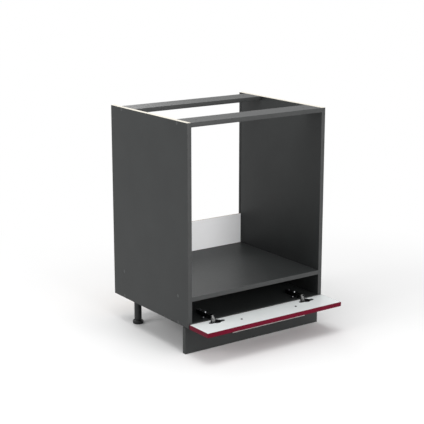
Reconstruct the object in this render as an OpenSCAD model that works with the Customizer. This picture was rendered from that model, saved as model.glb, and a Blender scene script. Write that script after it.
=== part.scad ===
// Base cabinet for a built-in oven: an open carcass on adjustable legs, with a low
// compartment under the oven shelf that a flap on two concealed hinges closes.
// X runs across the cabinet, the front faces -Y and the floor is at z = 0.
// The flap is drawn open and level, resting on the stop of its hinges.
// Depths (y) inside the modules are counted from the front plane of the carcass.

/* [Carcass] */
// Width over both side panels
carcass_w = 600; // [450:10:900]
// Depth of the side panels with their front bands
carcass_d = 500; // [440:10:640]
// Height of the side panels
carcass_h = 720; // [560:10:900]
// Thickness of the sides, the bottom, the oven shelf and the rails
board_t = 16; // [15:1:19]
// Thickness of every edge band
band_t = 1; // [0.4:0.1:2]
// Clear height between the bottom and the oven shelf
compartment_h = 79; // [60:1:140]
// Depth of the front rail
front_rail_d = 92; // [70:1:120]
// Depth of the back rail
back_rail_d = 92; // [70:1:120]
// Distance from the back rail to the back edge of the sides
back_rail_inset = 46; // [20:1:80]

/* [Back panel] */
// Thickness of the back panel
back_t = 3; // [2.5:0.5:5]
// Height of the back panel
back_h = 230; // [180:5:300]
// Height of its lower edge above the underside of the carcass
back_lift = 1; // [0:0.5:4]
// Distance from its groove to the back edge of the sides
groove_inset = 10; // [8:1:20]
// Depth of the groove in each side
groove_depth = 6; // [4:0.5:9]
// Clearance of the back panel in its groove, on each face
groove_clear = 0.15; // [0.05:0.05:0.4]
// Space left between the panel's edge and the floor of the groove
groove_slack = 0.5; // [0.2:0.1:2]
// Diameter of the nails that hold the back panel
nail_d = 1.6; // [1.2:0.1:2.4]
// Length of those nails
nail_len = 20; // [14:1:24]
// Nails in each row
nail_count = 5; // [3:1:9]
// Distance from the first and last nail to the inner face of the sides
nail_inset = 24; // [12:1:60]

/* [Carcass fixings] */
// Diameter of the carcass screws
screw_d = 6.4; // [5:0.2:7]
// Length of the carcass screws with their heads
screw_len = 50; // [42:1:60]
// Diameter of their heads
screw_head_d = 10; // [9:0.5:11]
// Height of their heads
screw_head_t = 3.2; // [2.5:0.1:4]
// Diameter of the cover caps
cap_d = 12; // [11:0.5:14]
// Thickness of the cover caps, which lie flush in the sides
cap_t = 1.2; // [0.8:0.1:2]
// Distance from the middle of a pair of fixings back to its screw
screw_offset = 19; // [14:1:20]
// Distance from the middle of a pair of fixings forward to its dowel
dowel_offset = 13; // [10:1:14]
// Diameter of the dowels
dowel_d = 8; // [6:1:8]
// Depth of the dowels in the sides
dowel_side = 11; // [8:0.5:12]
// Depth of the dowels in the boards
dowel_board = 24; // [20:1:30]
// Diameter of the worktop screw holes in the rails
worktop_hole_d = 5; // [4:0.5:6]
// Distance from those holes to the outer face of the sides
worktop_hole_inset = 66; // [60:1:90]

/* [Legs and plinth] */
// Height of the carcass above the floor
leg_h = 100; // [90:5:160]
// Distance from the legs to the outer face of the sides
leg_inset = 39; // [36:1:60]
// Distance from the front legs backward to the nearest row of carcass screws
front_leg_offset = 8; // [4:1:12]
// Distance from the back legs backward to the nearest row of carcass screws
back_leg_offset = 29; // [28:1:40]
// Outer diameter of the leg tubes
tube_d = 27.5; // [22:0.5:28]
// Wall of the leg tubes
tube_wall = 1.9; // [1.5:0.1:2.5]
// Side of the square socket plates
socket_plate = 52; // [50:1:64]
// Distance from a leg backward to the middle of its socket plate
socket_shift = 6; // [0:0.5:7]
// Thickness of the socket plates
socket_t = 3; // [2:0.5:4]
// Length of the spigot inside each tube
spigot_len = 15; // [10:1:18]
// Distance from a socket's screws to the middle of its leg, across the cabinet
socket_screw_x = 18; // [17:0.5:20]
// Distance from a socket's screws to the middle of its plate, front to back
socket_screw_y = 16; // [15:0.5:17.5]
// Diameter of the feet
foot_d = 40; // [34:1:50]
// Height of the foot discs
foot_t = 13; // [10:1:16]
// Gap between a foot disc and its tube, which lets the foot screw in
foot_gap = 5; // [4:0.5:10]
// Length of the foot stems above the discs
stem_len = 42; // [36:1:46]
// Thickness of the plinth board
plinth_t = 16; // [15:1:19]
// Distance from the plinth to the front plane
plinth_setback = 20; // [10:1:30]
// Clearance between the plinth and the front legs' sockets and feet
plinth_clear = 1; // [0.5:0.5:3]
// Gap between the plinth and the underside of the carcass
plinth_gap = 2; // [1:0.5:5]
// Height of the plinth clips' middle above the floor
clip_z = 50; // [40:1:60]
// Height of the plinth clips
clip_h = 20; // [14:1:26]
// Wall of the clip rings and plates
clip_t = 2.5; // [2:0.5:4]
// Width of the clip plates
clip_plate_w = 44; // [40:1:60]

/* [Flap] */
// Thickness of the flap with its front sheet
flap_t = 16; // [15:1:19]
// Thickness of the front sheet
sheet_t = 0.8; // [0.5:0.1:1.5]
// Gap between the flap's ends and the outer faces of the sides
flap_side_gap = 1.5; // [1:0.5:4]
// Height of the closed flap's lower edge above the underside of the carcass
flap_low = 0.5; // [0:0.5:2]
// Distance from the closed flap's upper edge down to the top of the oven shelf
flap_top_gap = 0.5; // [0:0.5:4]
// Gap between the open flap and the front plane
open_gap = 5; // [4.5:0.1:6]
// Height of the open flap's inner face above the underside of the carcass
open_lift = 15.5; // [15:0.1:16]

/* [Hinges] */
// Distance from each hinge to the outer face of the sides
hinge_inset = 98; // [80:1:140]
// Diameter of the hinge cups
cup_d = 35; // [34:0.5:36]
// Depth of the hinge cups
cup_depth = 11.5; // [11:0.1:12]
// Wall of the hinge cups
cup_wall = 1.5; // [1.2:0.1:1.6]
// Distance from the middle of a cup to the flap's hinge edge
cup_at = 21.5; // [21:0.1:22]
// Thickness of the cup flanges
flange_t = 1.2; // [1:0.1:1.5]
// Width of the flange over the rim of the cup
rim_w = 1.5; // [1:0.1:2]
// Distance between the two screws of a cup flange
cup_screw_spacing = 52; // [45:1:54]
// Distance from the middle of a cup on to the line of its two screws
cup_screw_shift = 5.5; // [0:0.5:9]
// Width of the flange's ears
ear_w = 14; // [12:0.5:16]
// Width of the hinge arms
arm_w = 16; // [15.6:0.2:17]
// Thickness of the arms' sheet metal
arm_t = 1.4; // [1.2:0.1:1.6]
// Distance from the front plane to the back end of the arms
arm_back = 84; // [80:1:92]
// Height of the arms above the bottom
arm_h = 15.4; // [15:0.1:16]
// Thickness of the mounting plates' wings
wing_t = 2.5; // [2:0.1:2.5]
// Distance from the front plane to the wing screws
wing_y = 28; // [26:1:37]
// Distance between the two wing screws
wing_screw_spacing = 32; // [30:1:34]
// Width of the wings
wing_w = 18; // [14:1:20]
// Distance from the front plane to the clamp screws
clamp_y = 39; // [38:1:48]
// Distance from the clamp screws to the depth screws at the back of the arms
arm_screw_spacing = 31; // [24:1:36]
// Diameter of the pins that the links turn on
pin_d = 2.5; // [2:0.1:2.6]
// Thickness of the links
link_t = 1.2; // [1:0.1:1.4]
// Width of the inner link
inner_link_w = 6.2; // [5.8:0.1:6.4]
// Gap between a link and what lies beside it
link_gap = 0.3; // [0.2:0.1:0.4]

/* [Handle] */
// Distance between the two posts
handle_spacing = 244; // [128:4:288]
// Length of the bar beyond each post
handle_over = 40; // [20:1:50]
// Diameter of the bar
handle_d = 10; // [9:0.5:12]
// Distance from the middle of the bar to the flap's front
handle_reach = 22; // [20:1:30]
// Diameter of the posts
post_d = 8; // [7:0.5:9]
// Distance from the middle of the flap to the middle of the handle, to the right
handle_shift = 7; // [-20:1:20]

/* [Hidden] */
$fn = 48;
// Radial clearance of screws, nails, dowels and pins in their bores
fit = 0.05;
// Length by which a cutting shape runs past the face that it opens
past = 1;

// Heights
bottom_top = leg_h + board_t;
bottom_mid = leg_h + board_t / 2;
shelf_top = bottom_top + compartment_h + board_t;
shelf_mid = shelf_top - board_t / 2;
carcass_top = leg_h + carcass_h;
rail_mid = carcass_top - board_t / 2;

// Widths and depths inside the carcass
inner_w = carcass_w - 2 * board_t;
groove_w = back_t + 2 * groove_clear;
groove_y = carcass_d - groove_inset - groove_w;
back_y = groove_y + groove_clear;
back_w = inner_w + 2 * (groove_depth - groove_slack);
back_z = leg_h + back_lift;
back_rail_y = carcass_d - back_rail_inset - back_rail_d;

// The front legs stand right behind the plinth
plinth_back = plinth_setback + plinth_t;
front_leg_y = plinth_back + plinth_clear + max(foot_d / 2, socket_plate / 2 - socket_shift);

// Rows of fixings, each as [y, z]
pair_middles = [front_leg_y + front_leg_offset - screw_offset, back_rail_y + back_rail_d / 2];
board_rows = [for (y = pair_middles, z = [bottom_mid, shelf_mid, rail_mid]) [y, z]];
screw_rows = [for (p = board_rows) p + [screw_offset, 0]];
dowel_rows = [for (p = board_rows) p - [dowel_offset, 0]];
socket_d = 4;
cap_stub_share = 0.8;
nail_head_d = 4;
nail_head_t = 0.6;
nail_pitch = (inner_w - 2 * nail_inset) / (nail_count - 1);

// Legs
leg_x = carcass_w / 2 - leg_inset;
leg_rows = [front_leg_y, pair_middles[1] + screw_offset - back_leg_offset];
tube_r = tube_d / 2;
bore_r = tube_r - tube_wall;
tube_top = leg_h - socket_t;
tube_bottom = foot_t + foot_gap;
foot_rim_w = 4;
foot_dish = 3;
foot_edge = 1.5;
leg_screw_d = 3.6;
leg_screw_len = 15;
leg_screw_head_d = 7;
leg_screw_head_t = 2;
socket_corner = 6;

// Plinth and clips
plinth_h = leg_h - plinth_gap;
clip_mouth_share = 0.8;
clip_mouth = clip_mouth_share * tube_d;
clip_clear = 0.1;
clip_ring_r = tube_r + clip_clear + clip_t;
clip_screw_edge = 6;
clip_screw_at = clip_plate_w / 2 - clip_screw_edge;
clip_screw_len = 14;
clip_neck_w = 12;

// Flap: u is counted from the hinge edge, w from the inner face
flap_w = carcass_w - 2 * flap_side_gap;
flap_h = 2 * board_t + compartment_h - flap_low - flap_top_gap;
open_z = leg_h + open_lift;
core_t = flap_t - sheet_t;
front_y = (open_gap + flap_h - carcass_d) / 2;

// Hinges: the pins in the arm are counted from the front plane and the bottom,
// and the cup ends of the links in u and w
hinge_x = carcass_w / 2 - hinge_inset;
inner_pin_drop = 0.5;
outer_pin = [-7.7, bottom_top + 8.4];
inner_pin = [-4.7, bottom_top + arm_h - inner_pin_drop];
outer_end = [-open_gap - 8.25, open_z - 5.75];
inner_end = [-open_gap - 10.25, open_z - 1.75];
eye_wall = 0.9;
cheek_wall = 1.5;
eye_r = pin_d / 2 + eye_wall;
end_r = 1.5;
bridge_r = 0.8;
bridge_at = 1.4;
cheek_in = arm_w / 2 - arm_t;
prong_in = inner_link_w / 2 + link_gap;
prong_out = cheek_in - link_gap;
cup_floor = 1.2;
cup_clear = 0.1;
cup_screw_d = 3.5;
cup_screw_len = 13;
screw_head_ratio = 2;
pan_head_t = 1.8;
slot_half = prong_out + 2 * link_gap;
slot_step = 0.6;
slot_depth = cup_depth - cup_floor - slot_step;
web_front = 9;
nose_rise = 2.1;
nose_slope = 0.3;
arm_chamfer = 3;
plate_front = 12;
plate_back = arm_back - arm_chamfer;
clamp_d = 4;
clamp_head_d = 8;
clamp_head_t = 2;
clamp_len = 10;
wing_screw_d = 3.5;
wing_screw_len = 13;

// Handle
handle_u = flap_h / 2;
handle_len = handle_spacing + 2 * handle_over;
handle_chamfer = 0.8;
handle_screw_d = 4;
handle_screw_head_d = 8;
handle_screw_head_t = 2.2;
handle_screw_grip = 9;
spigot_d = 5;
spigot_in = 4;

// Colours
board_grey = "#4c4f4e";
band_grey = "#666867";
raw_white = "#e9e9e6";
board_core = "#cdb894";
gloss_red = "#7a1026";
steel = "#c9c9c6";
hinge_black = "#1d1e1f";
hinge_grey = "#9a9a98";
plastic_black = "#26282a";
beech = "#d9bd8f";

// Moves depths counted from the front plane into the cabinet's own frame
module from_front() {
    translate([0, front_y, 0])
        children();
}

// A box given by its middle in X and its lower ends in Y and Z
module board(w, y, d, z, t) {
    translate([-w / 2, y, z])
        cube([w, d, t]);
}

// Points local +Z from the outer face of one side into the carcass
module into_side(side, row) {
    translate([side * carcass_w / 2, row[0], row[1]])
        rotate([0, -90 * side, 0])
            children();
}

// A straight bore whose mouth is opened past the face
module bore(d, depth, mouth = past) {
    translate([0, 0, -mouth])
        cylinder(d = d + 2 * fit, h = depth + mouth);
}

// Extrudes an outline drawn in y and z across x0 to x1
module across(x0, x1) {
    translate([x0, 0, 0])
        rotate([90, 0, 90])
            linear_extrude(height = x1 - x0)
                children();
}

// Bores of the carcass screws and dowels, from the outer faces inwards
module screw_bores(side) {
    for (row = screw_rows)
        into_side(side, row) {
            bore(cap_d, cap_t);
            bore(screw_head_d, cap_t + screw_head_t);
            bore(screw_d, screw_len + cap_t);
        }
}

module dowel_bores(side) {
    for (row = dowel_rows)
        into_side(side, row)
            translate([0, 0, board_t - dowel_side - fit])
                bore(dowel_d, dowel_side + dowel_board + 2 * fit, 0);
}

// Screws under a leg socket, seen from the plate upwards
module at_leg_screws(sides = [-1, 1]) {
    for (side = sides, y = leg_rows, dx = [-1, 1], dy = [-1, 1])
        translate([side * leg_x + dx * socket_screw_x, y + socket_shift + dy * socket_screw_y, tube_top])
            children();
}

module side_panel(side) {
    difference() {
        translate([side > 0 ? inner_w / 2 : -carcass_w / 2, band_t, leg_h])
            cube([board_t, carcass_d - band_t, carcass_h]);
        translate([side > 0 ? inner_w / 2 - past : -inner_w / 2 - groove_depth, groove_y, leg_h - past])
            cube([groove_depth + past, groove_w, carcass_h + 2 * past]);
        screw_bores(side);
        dowel_bores(side);
    }
}

// A board between the sides with its end bores
module cross_board(y, d, z) {
    difference() {
        board(inner_w, y + band_t, d - band_t, z, board_t);
        for (side = [-1, 1]) {
            screw_bores(side);
            dowel_bores(side);
        }
    }
}

module nail_bores() {
    at_nails()
        cylinder(d = nail_d + 2 * fit, h = nail_len + past);
}

// Places nails, pointing forwards from the back face of the back panel
module at_nails() {
    for (z = [bottom_mid, shelf_mid], i = [0 : nail_count - 1])
        translate([-inner_w / 2 + nail_inset + i * nail_pitch, back_y + back_t, z])
            rotate([90, 0, 0])
                children();
}

module left_side() {
    color(board_grey)
        from_front()
            side_panel(-1);
}

module right_side() {
    color(board_grey)
        from_front()
            side_panel(1);
}

module side_edge_bands() {
    color(band_grey)
        from_front()
            for (side = [-1, 1])
                translate([side * (carcass_w - board_t) / 2, 0, 0])
                    board(board_t, 0, band_t, leg_h, carcass_h);
}

module bottom_panel() {
    color(board_grey)
        from_front()
            difference() {
                cross_board(0, back_y, leg_h);
                nail_bores();
                at_leg_screws()
                    bore(leg_screw_d, leg_screw_len);
                at_hinges()
                    at_wing_screws()
                        bore(wing_screw_d, wing_screw_len + past, 0);
            }
}

module oven_shelf() {
    color(board_grey)
        from_front()
            difference() {
                cross_board(0, back_y, shelf_top - board_t);
                nail_bores();
            }
}

// A top rail with its two worktop screw holes
module rail(y, d) {
    difference() {
        cross_board(y, d, carcass_top - board_t);
        for (side = [-1, 1])
            translate([side * (carcass_w / 2 - worktop_hole_inset), y + d / 2, carcass_top - board_t - past])
                cylinder(d = worktop_hole_d, h = board_t + 2 * past);
    }
}

module front_rail() {
    color(board_grey)
        from_front()
            rail(0, front_rail_d);
}

module back_rail() {
    color(board_grey)
        from_front()
            rail(back_rail_y, back_rail_d);
}

module board_edge_bands() {
    color(band_grey)
        from_front() {
            for (z = [leg_h, shelf_top - board_t, carcass_top - board_t])
                board(inner_w, 0, band_t, z, board_t);
            board(inner_w, back_rail_y, band_t, carcass_top - board_t, board_t);
        }
}

module back_panel() {
    color(raw_white)
        from_front()
            difference() {
                board(back_w, back_y, back_t, back_z, back_h);
                nail_bores();
            }
}

module back_panel_nails() {
    color(steel)
        from_front()
            at_nails() {
                cylinder(d = nail_d, h = nail_len);
                translate([0, 0, -nail_head_t])
                    cylinder(d = nail_head_d, h = nail_head_t);
            }
}

// Shank and head with a hexagon socket
module carcass_screws() {
    color(steel)
        from_front()
            for (side = [-1, 1], row = screw_rows)
                into_side(side, row)
                    translate([0, 0, cap_t])
                        difference() {
                            union() {
                                cylinder(d = screw_head_d, h = screw_head_t);
                                cylinder(d = screw_d, h = screw_len);
                            }
                            translate([0, 0, -past])
                                cylinder(d = socket_d, h = screw_head_t + past, $fn = 6);
                        }
}

// Caps with a stub that presses into the screw's socket
module screw_caps() {
    color(board_grey)
        from_front()
            for (side = [-1, 1], row = screw_rows)
                into_side(side, row) {
                    cylinder(d = cap_d, h = cap_t);
                    cylinder(d = cap_stub_share * socket_d, h = cap_t + screw_head_t / 2);
                }
}

module dowels() {
    color(beech)
        from_front()
            for (side = [-1, 1], row = dowel_rows)
                into_side(side, row)
                    translate([0, 0, board_t - dowel_side])
                        cylinder(d = dowel_d, h = dowel_side + dowel_board);
}

// Places a clip screw, pointing forwards from the back of the clip plate
module at_clip_screws() {
    for (side = [-1, 1], dx = [-1, 1])
        translate([side * leg_x + dx * clip_screw_at, plinth_back + clip_t, clip_z])
            rotate([90, 0, 0])
                children();
}

module plinth_panel() {
    color(board_grey)
        from_front()
            difference() {
                board(carcass_w, plinth_setback, plinth_t, 0, plinth_h);
                at_clip_screws()
                    bore(leg_screw_d, clip_screw_len);
            }
}

// A plate on the plinth's back, a neck and a ring that snaps on the front leg
module plinth_clip(side) {
    color(plastic_black)
        from_front()
            difference() {
                translate([side * leg_x, 0, clip_z - clip_h / 2]) {
                    board(clip_plate_w, plinth_back, clip_t, 0, clip_h);
                    board(clip_neck_w, plinth_back, leg_rows[0] - plinth_back, 0, clip_h);
                    translate([0, leg_rows[0], 0])
                        cylinder(r = clip_ring_r, h = clip_h);
                }
                translate([side * leg_x, leg_rows[0], clip_z - clip_h]) {
                    cylinder(r = tube_r + clip_clear, h = 2 * clip_h);
                    board(clip_mouth, 0, clip_ring_r + past, 0, 2 * clip_h);
                }
                at_clip_screws()
                    bore(leg_screw_d, clip_screw_len);
            }
}

// A pan-head wood screw that points along +Z from its seat
module wood_screw(d, len, head_t) {
    cylinder(d = d, h = len);
    translate([0, 0, -head_t])
        cylinder(d = screw_head_ratio * d, h = head_t);
}

module plinth_clip_screws() {
    color(steel)
        from_front()
            at_clip_screws()
                wood_screw(leg_screw_d, clip_screw_len, leg_screw_head_t);
}

module rounded_plate(w, r, t) {
    linear_extrude(height = t) {
        square([w, w - 2 * r], center = true);
        square([w - 2 * r, w], center = true);
        for (dx = [-1, 1], dy = [-1, 1])
            translate([dx, dy] * (w / 2 - r))
                circle(r);
    }
}

module leg_socket(side, y) {
    color(plastic_black)
        from_front()
            difference() {
                translate([side * leg_x, y, tube_top]) {
                    translate([0, socket_shift, 0])
                        rounded_plate(socket_plate, socket_corner, socket_t);
                    translate([0, 0, -spigot_len])
                        cylinder(r = bore_r - fit, h = spigot_len);
                }
                at_leg_screws([side])
                    bore(leg_screw_d, leg_screw_len);
            }
}

module leg_tube(side, y) {
    color(plastic_black)
        from_front()
            translate([side * leg_x, y, tube_bottom])
                difference() {
                    cylinder(r = tube_r, h = tube_top - tube_bottom);
                    translate([0, 0, -past])
                        cylinder(r = bore_r, h = tube_top - tube_bottom + 2 * past);
                }
}

module leg_socket_screws() {
    color(steel)
        from_front()
            at_leg_screws()
                wood_screw(leg_screw_d, leg_screw_len, leg_screw_head_t);
}

// A dished disc with a raised rim and a stem that screws into the tube
module foot(side, y) {
    foot_r = foot_d / 2;
    stem_r = bore_r - fit;
    color(plastic_black)
        from_front()
            translate([side * leg_x, y, 0])
                rotate_extrude()
                    polygon([
                        [0, 0], [foot_r - foot_edge, 0], [foot_r, foot_edge],
                        [foot_r, foot_t - foot_edge], [foot_r - foot_edge, foot_t],
                        [foot_r - foot_rim_w, foot_t], [foot_r - foot_rim_w, foot_t - foot_dish],
                        [stem_r, foot_t - foot_dish], [stem_r, foot_t + stem_len],
                        [0, foot_t + stem_len]
                    ]);
}

module at_hinges(sides = [-1, 1]) {
    for (side = sides)
        translate([side * hinge_x, 0, 0])
            children();
}

// Places a wing screw, pointing down from the top of the mounting plate
module at_wing_screws() {
    for (dx = [-1, 1])
        translate([dx * wing_screw_spacing / 2, wing_y, bottom_top + wing_t])
            rotate([180, 0, 0])
                children();
}

// A cross-shaped plate on the bottom with a raised block for the arm
module hinge_plate(side) {
    color(hinge_black)
        from_front()
            at_hinges([side])
                difference() {
                    union() {
                        translate([0, wing_y, bottom_top])
                            linear_extrude(height = wing_t) {
                                square([wing_screw_spacing, wing_w], center = true);
                                for (dx = [-1, 1])
                                    translate([dx * wing_screw_spacing / 2, 0])
                                        circle(d = wing_w);
                            }
                        board(2 * (cheek_in - link_gap), plate_front, plate_back - plate_front,
                            bottom_top, arm_h - arm_t);
                    }
                    at_wing_screws()
                        bore(wing_screw_d, wing_screw_len);
                    at_arm_screws()
                        bore(clamp_d, clamp_len + past);
                }
}

// Places the clamp screw and the depth screw, pointing down from the top of the arm
module at_arm_screws() {
    for (y = [clamp_y, clamp_y + arm_screw_spacing])
        translate([0, y, bottom_top + arm_h])
            rotate([180, 0, 0])
                children();
}

// Side view of an arm: a long cheek with two eyes at the nose
module cheek_outline() {
    difference() {
        union() {
            for (pin = [outer_pin, inner_pin])
                translate(pin)
                    circle(pin_d / 2 + cheek_wall);
            translate([0, bottom_top])
                polygon([
                    [-10.2, 9.6], [-9.4, 6], [-7, 5.8], [4, 5.6], [10, wing_t + 0.1],
                    [arm_back - arm_chamfer, wing_t + 0.1], [arm_back, 6], [arm_back, arm_h],
                    [web_front, arm_h], [0, arm_h + nose_rise - nose_slope],
                    [-5.5, arm_h + nose_rise]
                ]);
        }
        for (pin = [outer_pin, inner_pin])
            translate(pin)
                circle(d = pin_d + 2 * fit);
    }
}

module hinge_arm(side) {
    color(hinge_black)
        from_front()
            at_hinges([side])
                difference() {
                    union() {
                        for (x0 = [-arm_w / 2, cheek_in])
                            across(x0, x0 + arm_t)
                                cheek_outline();
                        board(arm_w, web_front, arm_back - web_front, bottom_top + arm_h - arm_t, arm_t);
                    }
                    at_arm_screws()
                        bore(clamp_d, clamp_len);
                }
}

// Two stub pins for the outer link and one long pin for the inner link
module hinge_arm_pins() {
    color(steel)
        from_front()
            at_hinges() {
                for (x0 = [-arm_w / 2, prong_in])
                    across(x0, x0 + arm_w / 2 - prong_in)
                        translate(outer_pin)
                            circle(d = pin_d);
                across(-arm_w / 2, arm_w / 2)
                    translate(inner_pin)
                        circle(d = pin_d);
            }
}

module hinge_wing_screws() {
    color(steel)
        from_front()
            at_hinges()
                at_wing_screws()
                    wood_screw(wing_screw_d, wing_screw_len, pan_head_t);
}

module hinge_arm_screws() {
    color(steel)
        from_front()
            at_hinges()
                at_arm_screws() {
                    cylinder(d = clamp_d, h = clamp_len);
                    translate([0, 0, -clamp_head_t])
                        cylinder(d = clamp_head_d, h = clamp_head_t);
                }
}

// Side view of a link from its pin in the arm to its end in the cup
module link_outline(pin, end) {
    reach = end - pin;
    difference() {
        union() {
            translate(pin)
                circle(eye_r);
            translate(end)
                circle(end_r);
            translate(pin)
                rotate(atan2(reach[1], reach[0]))
                    translate([0, -link_t / 2])
                        square([norm(reach), link_t]);
        }
        translate(pin)
            circle(d = pin_d + 2 * fit);
    }
}

// Two prongs beside the inner link, bridged beyond their ends in the cup
module outer_link(side) {
    reach = outer_end - outer_pin;
    bridge = outer_end + reach / norm(reach) * bridge_at;
    color(hinge_grey)
        from_front()
            at_hinges([side]) {
                for (x0 = [-prong_out, prong_in])
                    across(x0, x0 + prong_out - prong_in)
                        link_outline(outer_pin, outer_end);
                across(-prong_out, prong_out)
                    translate(bridge)
                        circle(bridge_r);
            }
}

module inner_link(side) {
    color(hinge_grey)
        from_front()
            at_hinges([side])
                across(-inner_link_w / 2, inner_link_w / 2)
                    link_outline(inner_pin, inner_end);
}

// Flap space: local Y is u, away from the hinge edge, and local Z is w, inwards
// from the inner face of the flap
module on_flap() {
    from_front()
        translate([0, -open_gap, open_z])
            rotate([180, 0, 0])
                children();
}

module at_cups(sides = [-1, 1]) {
    for (side = sides)
        translate([side * hinge_x, cup_at, 0])
            children();
}

module at_cup_screws() {
    for (dx = [-1, 1])
        translate([dx * cup_screw_spacing / 2, cup_screw_shift, -flange_t])
            children();
}

module hinge_cup(side) {
    color(hinge_black)
        on_flap()
            at_cups([side])
                difference() {
                    union() {
                        cylinder(d = cup_d - 2 * cup_clear, h = cup_depth);
                        translate([0, 0, -flange_t])
                            linear_extrude(height = flange_t) {
                                circle(d = cup_d + 2 * rim_w);
                                translate([0, cup_screw_shift]) {
                                    square([cup_screw_spacing, ear_w], center = true);
                                    for (dx = [-1, 1])
                                        translate([dx * cup_screw_spacing / 2, 0])
                                            circle(d = ear_w);
                                }
                            }
                    }
                    translate([0, 0, -flange_t - past])
                        cylinder(d = cup_d - 2 * cup_wall, h = cup_depth - cup_floor + flange_t + past);
                    translate([-slot_half, -cup_at, -flange_t - past])
                        cube([2 * slot_half, cup_d / 2, slot_depth + flange_t + past]);
                    at_cup_screws()
                        bore(cup_screw_d, cup_screw_len);
                }
}

module hinge_cup_screws() {
    color(hinge_black)
        on_flap()
            at_cups()
                at_cup_screws()
                    wood_screw(cup_screw_d, cup_screw_len, pan_head_t);
}

// Places a handle post, with local +Z pointing away from the flap's front
module at_handle_posts() {
    for (dx = [-1, 1])
        translate([handle_shift + dx * handle_spacing / 2, handle_u, 0])
            children();
}

// Bores for cups, cup screws and handle screws through the flap's layers
module flap_bores() {
    at_cups() {
        bore(cup_d - 2 * fit, cup_depth + cup_clear);
        at_cup_screws()
            bore(cup_screw_d, cup_screw_len);
    }
    at_handle_posts()
        bore(handle_screw_d, flap_t + past);
}

module flap_panel() {
    color(raw_white)
        on_flap()
            difference() {
                board(flap_w - 2 * band_t, band_t, flap_h - 2 * band_t, 0, core_t);
                flap_bores();
            }
}

module flap_front_sheet() {
    color(gloss_red)
        on_flap()
            difference() {
                board(flap_w, 0, flap_h, core_t, sheet_t);
                flap_bores();
            }
}

module flap_edge_bands() {
    color(gloss_red)
        on_flap() {
            for (u = [0, flap_h - band_t])
                board(flap_w, u, band_t, 0, core_t);
            for (side = [-1, 1])
                translate([side * (flap_w - band_t) / 2, 0, 0])
                    board(band_t, band_t, flap_h - 2 * band_t, 0, core_t);
        }
}

// A round bar with chamfered ends and two blind bores for the posts
module handle_bar() {
    bar_r = handle_d / 2;
    color(steel)
        on_flap()
            difference() {
                translate([handle_shift - handle_len / 2, handle_u, flap_t + handle_reach])
                    rotate([0, 90, 0])
                        rotate_extrude()
                            polygon([
                                [0, 0], [bar_r - handle_chamfer, 0], [bar_r, handle_chamfer],
                                [bar_r, handle_len - handle_chamfer],
                                [bar_r - handle_chamfer, handle_len], [0, handle_len]
                            ]);
                at_handle_posts()
                    translate([0, 0, flap_t])
                        cylinder(d = spigot_d + 2 * fit, h = handle_reach - bar_r + spigot_in + fit);
            }
}

// Posts saddled on the bar, with a spigot into it and a threaded bore
module handle_posts() {
    bar_r = handle_d / 2;
    color(steel)
        on_flap()
            at_handle_posts()
                translate([0, 0, flap_t])
                    difference() {
                        union() {
                            difference() {
                                cylinder(d = post_d, h = handle_reach);
                                translate([-post_d, 0, handle_reach])
                                    rotate([0, 90, 0])
                                        cylinder(r = bar_r + fit, h = 2 * post_d);
                            }
                            cylinder(d = spigot_d, h = handle_reach - bar_r + spigot_in);
                        }
                        bore(handle_screw_d, handle_screw_grip + past);
                    }
}

module handle_screws() {
    color(hinge_black)
        on_flap()
            at_handle_posts() {
                cylinder(d = handle_screw_d, h = flap_t + handle_screw_grip);
                translate([0, 0, -handle_screw_head_t])
                    cylinder(d = handle_screw_head_d, h = handle_screw_head_t);
            }
}

left_side();
right_side();
side_edge_bands();
bottom_panel();
oven_shelf();
front_rail();
back_rail();
board_edge_bands();
back_panel();
back_panel_nails();
carcass_screws();
screw_caps();
dowels();
plinth_panel();
plinth_clip(-1);  // plinth_clip_left
plinth_clip(1);  // plinth_clip_right
plinth_clip_screws();
leg_socket(-1, leg_rows[0]);  // leg_socket_front_left
leg_socket(1, leg_rows[0]);  // leg_socket_front_right
leg_socket(-1, leg_rows[1]);  // leg_socket_back_left
leg_socket(1, leg_rows[1]);  // leg_socket_back_right
leg_tube(-1, leg_rows[0]);  // leg_tube_front_left
leg_tube(1, leg_rows[0]);  // leg_tube_front_right
leg_tube(-1, leg_rows[1]);  // leg_tube_back_left
leg_tube(1, leg_rows[1]);  // leg_tube_back_right
leg_socket_screws();
foot(-1, leg_rows[0]);  // foot_front_left
foot(1, leg_rows[0]);  // foot_front_right
foot(-1, leg_rows[1]);  // foot_back_left
foot(1, leg_rows[1]);  // foot_back_right
hinge_plate(-1);  // hinge_plate_left
hinge_plate(1);  // hinge_plate_right
hinge_arm(-1);  // hinge_arm_left
hinge_arm(1);  // hinge_arm_right
hinge_arm_pins();
hinge_wing_screws();
hinge_arm_screws();
outer_link(-1);  // outer_link_left
outer_link(1);  // outer_link_right
inner_link(-1);  // inner_link_left
inner_link(1);  // inner_link_right
hinge_cup(-1);  // hinge_cup_left
hinge_cup(1);  // hinge_cup_right
hinge_cup_screws();
flap_panel();
flap_front_sheet();
flap_edge_bands();
handle_bar();
handle_posts();
handle_screws();
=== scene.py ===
# %% [markdown]
# # Oven base cabinet
# The cabinet carries a built-in oven. Its carcass is chipboard with an anthracite melamine
# face, a flap on two concealed hinges closes the low compartment, and a plinth hides the
# legs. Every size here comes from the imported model, which the next cell loads as a fixed
# frame: metres, the front towards -Y and the floor at z = 0. Its solids keep their places,
# and each piece made below either finishes one of them or stands in for it.

# %% Load the frame
import math

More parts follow.
